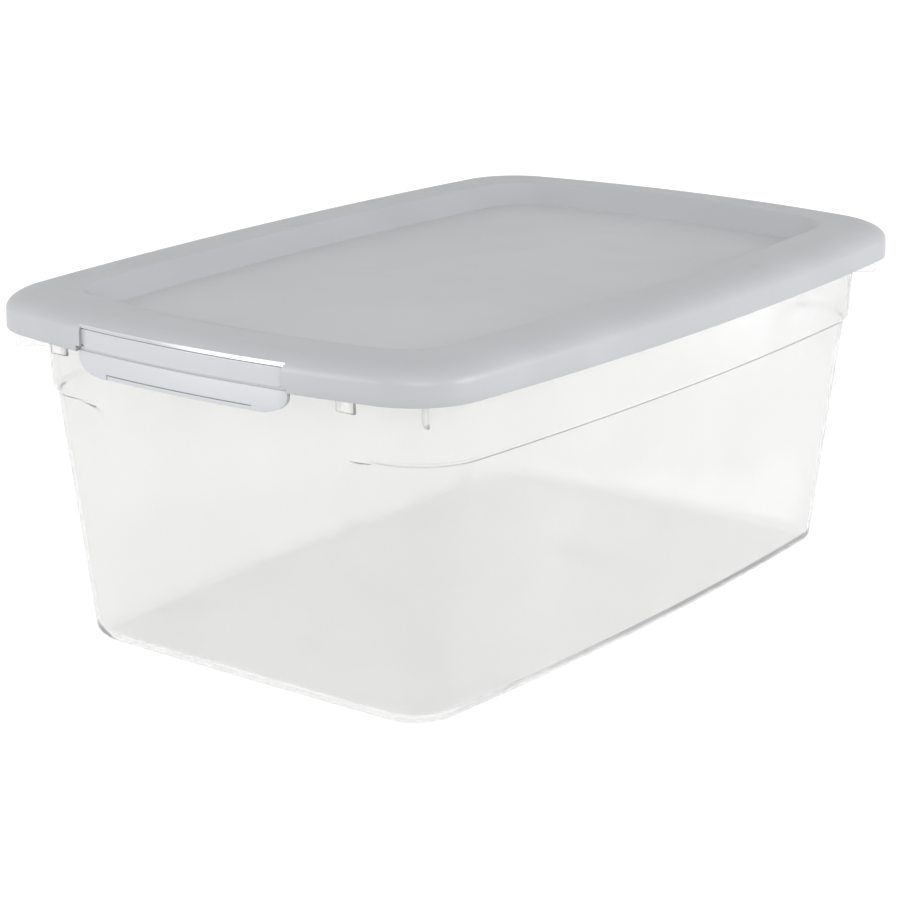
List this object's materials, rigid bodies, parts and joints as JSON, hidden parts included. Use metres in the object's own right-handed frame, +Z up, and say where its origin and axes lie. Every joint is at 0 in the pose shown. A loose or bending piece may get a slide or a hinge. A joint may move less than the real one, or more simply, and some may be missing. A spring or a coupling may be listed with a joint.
{
  "type": "stackable storage bin",
  "caption": "Clear plastic storage bin with a grey lift-off lid, a latch flap on each short end and a recessed lid panel that seats another bin's base.",
  "frame": {"origin": "centre of the bin's footprint, on the surface it stands on", "axes": "+X along the bin's length, +Y across its width, +Z up"},
  "size_m": [0.4258, 0.2834, 0.1716],
  "materials": {
    "clear_plastic": "clear, faintly milky",
    "lid_plastic": "satin",
    "latch_plastic": "semi-gloss"
  },
  "bodies": {
    "tub": {"Tub": "clear_plastic"},
    "lid": {"Lid": "lid_plastic"},
    "latch_front": {"Latch_Front": "latch_plastic"},
    "latch_rear": {"Latch_Rear": "latch_plastic"}
  },
  "joints": [
    {"name": "lid_lift", "type": "slide", "parent": "tub", "child": "lid", "axis": [0, 0, 1], "range_m": [0, 0.25]},
    {"name": "latch_front_hinge", "type": "hinge", "parent": "lid", "child": "latch_front", "pos_m": [-0.21085, 0, 0.16465], "axis": [0, 1, 0], "range_deg": [0, 100]},
    {"name": "latch_rear_hinge", "type": "hinge", "parent": "lid", "child": "latch_rear", "pos_m": [0.21085, 0, 0.16465], "axis": [0, -1, 0], "range_deg": [0, 100]}
  ]
}
